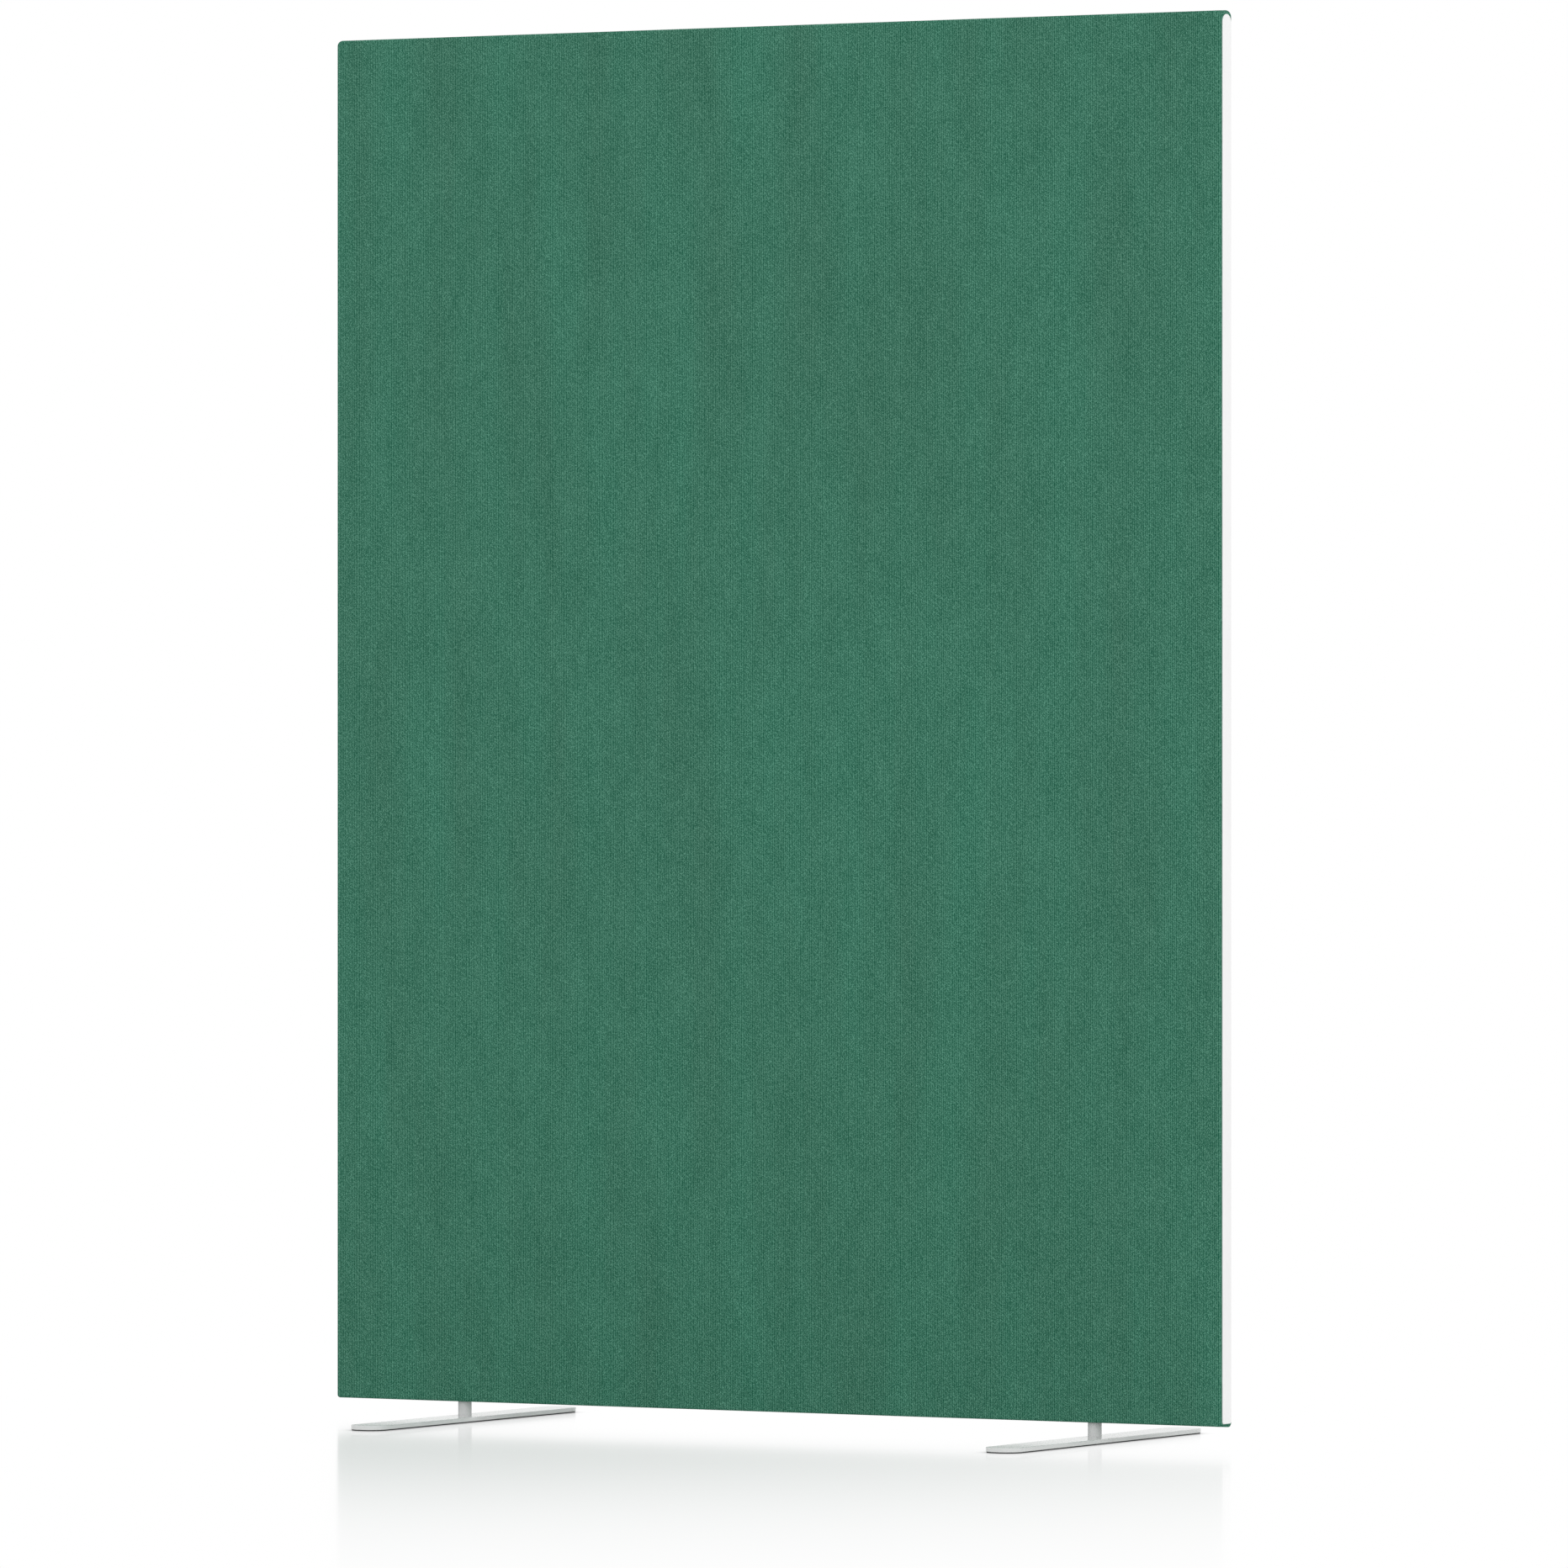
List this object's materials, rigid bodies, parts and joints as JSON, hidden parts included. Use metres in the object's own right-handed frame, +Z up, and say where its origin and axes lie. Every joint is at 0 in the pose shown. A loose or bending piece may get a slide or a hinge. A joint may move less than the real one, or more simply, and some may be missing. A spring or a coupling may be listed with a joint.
{
  "type": "acoustic divider screen",
  "caption": "Free-standing fabric-covered acoustic panel with plastic edge strips, standing on flat crosswise plate feet that swivel on short round posts.",
  "frame": {"origin": "on the floor, under the middle of the panel", "axes": "+Z up, +X along the panel's width, +Y through its thickness from the front face to the rear face"},
  "size_m": [1.203, 0.465, 1.65],
  "materials": {
    "cover_cloth": "taut green melange cloth with fine vertical ribs",
    "wadding": "bonded polyester wadding",
    "absorber_felt": "pressed polyester felt",
    "hardboard": "raw hardboard",
    "frame_timber": "planed softwood",
    "dowel_beech": "fluted beech",
    "strip_plastic": "smooth white extrusion",
    "zinc_steel": "bright zinc plated",
    "foot_paint": "pale grey powder coat",
    "post_paint": "satin light grey paint",
    "pad_rubber": "black rubber"
  },
  "bodies": {
    "panel": {"fabric_cover": "cover_cloth", "front_wadding": "wadding", "rear_wadding": "wadding", "front_absorber": "absorber_felt", "rear_absorber": "absorber_felt", "centre_board": "hardboard", "left_stile": "frame_timber", "right_stile": "frame_timber", "top_rail": "frame_timber", "bottom_rail": "frame_timber", "frame_dowels": "dowel_beech", "left_edge_strip": "strip_plastic", "right_edge_strip": "strip_plastic", "cover_staples": "zinc_steel", "left_anchor": "zinc_steel", "right_anchor": "zinc_steel", "anchor_screws": "zinc_steel", "left_foot_screw": "zinc_steel", "right_foot_screw": "zinc_steel"},
    "left_foot": {"left_foot_plate": "foot_paint", "left_foot_post": "post_paint", "left_foot_pad": "pad_rubber"},
    "right_foot": {"right_foot_plate": "foot_paint", "right_foot_post": "post_paint", "right_foot_pad": "pad_rubber"}
  },
  "joints": [
    {"name": "left_foot_swivel", "type": "hinge", "parent": "panel", "child": "left_foot", "pos_m": [-0.428, 0, 0], "axis": [0, 0, 1], "continuous": true},
    {"name": "right_foot_swivel", "type": "hinge", "parent": "panel", "child": "right_foot", "pos_m": [0.428, 0, 0], "axis": [0, 0, 1], "continuous": true}
  ]
}
